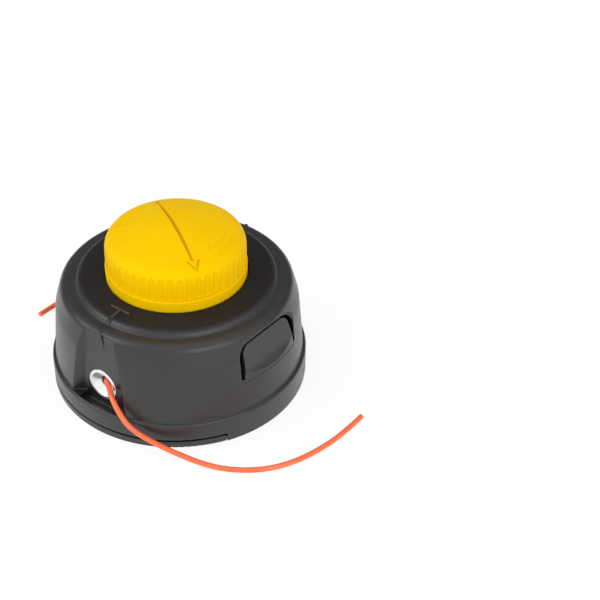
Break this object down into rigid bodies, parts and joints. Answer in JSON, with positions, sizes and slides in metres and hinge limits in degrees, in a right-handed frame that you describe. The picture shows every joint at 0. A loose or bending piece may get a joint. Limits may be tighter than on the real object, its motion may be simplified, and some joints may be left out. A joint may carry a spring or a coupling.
{
  "type": "trimmer head",
  "caption": "Round tap-and-feed trimmer head: black moulded cup on a drive cover, fluted yellow tap knob, press tabs, metal line eyelets with loose orange line ends.",
  "frame": {"origin": "centre of the drive side, on the plane that the head stands on", "axes": "+Z along the drive axis from the drive side towards the tap knob, -Y towards the front eyelet, +X through the right press tab"},
  "size_m": [0.1877, 0.1315, 0.0876],
  "materials": {
    "housing_nylon": "fine-grained black nylon",
    "knob_plastic": "satin yellow",
    "eyelet_metal": "turned, bright",
    "line_plastic": "glossy orange",
    "spool_plastic": "dark grey nylon",
    "plated_steel": "zinc plated"
  },
  "bodies": {
    "housing": {"housing_cup": "housing_nylon", "drive_cover": "housing_nylon", "eyelet_front": "eyelet_metal", "eyelet_rear": "eyelet_metal", "trimmer_line_front": "line_plastic", "trimmer_line_rear": "line_plastic", "drive_nut": "plated_steel", "nut_washer": "plated_steel", "bump_spring": "plated_steel"},
    "spring_seat": {"spring_washer": "plated_steel"},
    "spool_unit": {"spool": "spool_plastic", "wound_line": "line_plastic", "bump_knob": "knob_plastic", "knob_screw": "plated_steel"},
    "tab_right": {"release_tab_right": "housing_nylon"},
    "tab_left": {"release_tab_left": "housing_nylon"}
  },
  "joints": [
    {"name": "bump_slide", "type": "slide", "parent": "housing", "child": "spring_seat", "axis": [0, 0, -1], "range_m": [0, 0.007], "stiffness_N_per_m": 1000, "springref_m": -0.01, "deforming": ["bump_spring"]},
    {"name": "spool_spin", "type": "hinge", "parent": "spring_seat", "child": "spool_unit", "pos_m": [0, 0, 0.045], "axis": [0, 0, 1], "continuous": true},
    {"name": "tab_right_press", "type": "hinge", "parent": "housing", "child": "tab_right", "pos_m": [0.05839, 0, 0.0303], "axis": [0, -1, 0], "range_deg": [0, 4.5], "stiffness_Nm_per_rad": 2.5},
    {"name": "tab_left_press", "type": "hinge", "parent": "housing", "child": "tab_left", "pos_m": [-0.05839, 0, 0.0303], "axis": [0, 1, 0], "range_deg": [0, 4.5], "stiffness_Nm_per_rad": 2.5}
  ]
}
